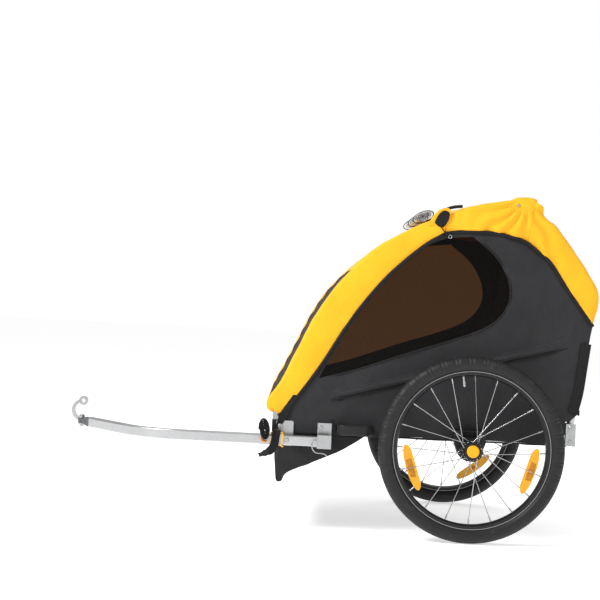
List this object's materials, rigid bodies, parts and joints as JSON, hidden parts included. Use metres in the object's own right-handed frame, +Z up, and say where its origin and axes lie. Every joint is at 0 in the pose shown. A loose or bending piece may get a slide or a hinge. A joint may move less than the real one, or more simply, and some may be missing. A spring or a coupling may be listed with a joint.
{
  "type": "child bicycle trailer",
  "caption": "Two-seat fabric child trailer on two pull-out spoked wheels, with a folding hoop frame, a front mesh cover and a side tow bar with a flexible hitch.",
  "frame": {"origin": "on the ground, in the middle of the whole trailer's footprint, tow bar and hitch included", "axes": "+X to the rear, +Y to the trailer's right, +Z up"},
  "size_m": [1.4226, 0.7952, 0.9129],
  "materials": {
    "aluminium_tube": "satin anodised",
    "black_tube": "satin black powder coat",
    "steel": "zinc plated",
    "chrome": "bright",
    "black_plastic": "matte moulded",
    "grey_rubber": "matte",
    "yellow_plastic": "gloss moulded",
    "amber_lens": "prismatic lens",
    "red_lens": "prismatic lens",
    "tyre": "matte",
    "rim": "satin black anodised",
    "yellow_fabric": "coated woven polyester",
    "charcoal_fabric": "coated woven polyester",
    "mesh": "open knitted mesh",
    "webbing": "woven webbing",
    "seat_fabric": "padded woven polyester",
    "tinted_film": "tinted vinyl film",
    "clear_film": "clear vinyl film"
  },
  "bodies": {
    "base": {"side_rails": "aluminium_tube", "cross_tubes": "aluminium_tube", "axle_beam": "aluminium_tube", "corner_connectors": "black_plastic", "hinge_brackets": "steel", "frame_bolts": "steel", "axle_brackets": "black_plastic", "wheel_guards": "black_plastic", "tow_bar_bracket": "steel", "tow_bar_receiver": "steel", "floor_tub": "charcoal_fabric", "left_side_panel": "charcoal_fabric", "right_side_panel": "charcoal_fabric", "left_window": "tinted_film", "right_window": "tinted_film", "rear_cover": "yellow_fabric", "rear_panel": "charcoal_fabric", "rear_reflector": "red_lens", "seat_bottom": "seat_fabric", "seat_back": "seat_fabric", "harness_straps": "webbing", "harness_buckles": "black_plastic"},
    "roll_hoop": {"roll_hoop": "aluminium_tube", "top_crossbar": "aluminium_tube", "top_cover": "yellow_fabric", "cover_tabs": "webbing"},
    "rear_hoop": {"rear_hoop": "aluminium_tube"},
    "front_cover": {"front_cover": "yellow_fabric", "mesh_screen": "mesh", "rolled_rain_shield": "clear_film"},
    "tow_bar": {"tow_bar": "aluminium_tube", "tow_bar_plug": "grey_rubber", "tow_pivot_bolt": "steel", "strap_clip": "steel", "safety_strap": "webbing"},
    "tail_pin": {"tail_pin": "steel"},
    "coupler": {"flex_coupler": "grey_rubber", "coupler_pin": "steel"},
    "hitch": {"hitch_arm": "steel"},
    "left_axle": {"left_axle": "steel"},
    "left_wheel": {"left_tyre": "tyre", "left_rim": "rim", "left_valve": "steel", "left_spokes": "chrome", "left_hub": "black_plastic", "left_bearings": "steel", "left_reflectors": "amber_lens"},
    "left_button": {"left_button": "yellow_plastic"},
    "left_buckle_button": {"left_buckle_button": "yellow_plastic"},
    "right_axle": {"right_axle": "steel"},
    "right_wheel": {"right_tyre": "tyre", "right_rim": "rim", "right_valve": "steel", "right_spokes": "chrome", "right_hub": "black_plastic", "right_bearings": "steel", "right_reflectors": "amber_lens"},
    "right_button": {"right_button": "yellow_plastic"},
    "right_buckle_button": {"right_buckle_button": "yellow_plastic"}
  },
  "joints": [
    {"name": "frame_fold", "type": "hinge", "parent": "base", "child": "roll_hoop", "pos_m": [-0.1237, 0, 0.31], "axis": [0, 1, 0], "range_deg": [0, 43], "deforming": ["left_side_panel", "right_side_panel", "left_window", "right_window", "rear_cover", "rear_panel", "seat_back", "harness_straps", "top_cover"]},
    {"name": "rear_hoop_fold", "type": "hinge", "parent": "base", "child": "rear_hoop", "pos_m": [0.6543, 0, 0.307], "axis": [0, -1, 0], "range_deg": [0, 89]},
    {"name": "front_cover_open", "type": "hinge", "parent": "roll_hoop", "child": "front_cover", "pos_m": [0.2893, 0, 0.853], "axis": [0, 1, 0], "range_deg": [0, 110]},
    {"name": "tow_bar_fold", "type": "hinge", "parent": "base", "child": "tow_bar", "pos_m": [-0.0977, -0.3035, 0.24], "axis": [0, -1, 0], "range_deg": [0, 150]},
    {"name": "tail_pin_pull", "type": "slide", "parent": "tow_bar", "child": "tail_pin", "axis": [0, -1, 0], "range_m": [0, 0.036]},
    {"name": "coupler_pitch", "type": "hinge", "parent": "tow_bar", "child": "coupler", "pos_m": [-0.66004, -0.07578, 0.24], "axis": [0.766, 0.6428, 0], "range_deg": [-25, 25]},
    {"name": "hitch_yaw", "type": "hinge", "parent": "coupler", "child": "hitch", "pos_m": [-0.67932, -0.0528, 0.24], "axis": [0, 0, 1], "range_deg": [-60, 60]},
    {"name": "left_wheel_release", "type": "slide", "parent": "base", "child": "left_axle", "axis": [0, -1, 0], "range_m": [0, 0.08]},
    {"name": "left_wheel_spin", "type": "hinge", "parent": "left_axle", "child": "left_wheel", "pos_m": [0.3843, -0.3575, 0.243], "axis": [0, 1, 0], "continuous": true},
    {"name": "left_button_press", "type": "slide", "parent": "left_axle", "child": "left_button", "axis": [0, 1, 0], "range_m": [0, 0.004], "stiffness_N_per_m": 400},
    {"name": "left_buckle_press", "type": "slide", "parent": "base", "child": "left_buckle_button", "axis": [0, 0, -1], "range_m": [0, 0.003], "stiffness_N_per_m": 300},
    {"name": "right_wheel_release", "type": "slide", "parent": "base", "child": "right_axle", "axis": [0, 1, 0], "range_m": [0, 0.08]},
    {"name": "right_wheel_spin", "type": "hinge", "parent": "right_axle", "child": "right_wheel", "pos_m": [0.3843, 0.3575, 0.243], "axis": [0, 1, 0], "continuous": true},
    {"name": "right_button_press", "type": "slide", "parent": "right_axle", "child": "right_button", "axis": [0, -1, 0], "range_m": [0, 0.004], "stiffness_N_per_m": 400},
    {"name": "right_buckle_press", "type": "slide", "parent": "base", "child": "right_buckle_button", "axis": [0, 0, -1], "range_m": [0, 0.003], "stiffness_N_per_m": 300}
  ],
  "couplings": [
    {"joint": "rear_hoop_fold", "follows": "frame_fold", "ratio": 2.05}
  ]
}
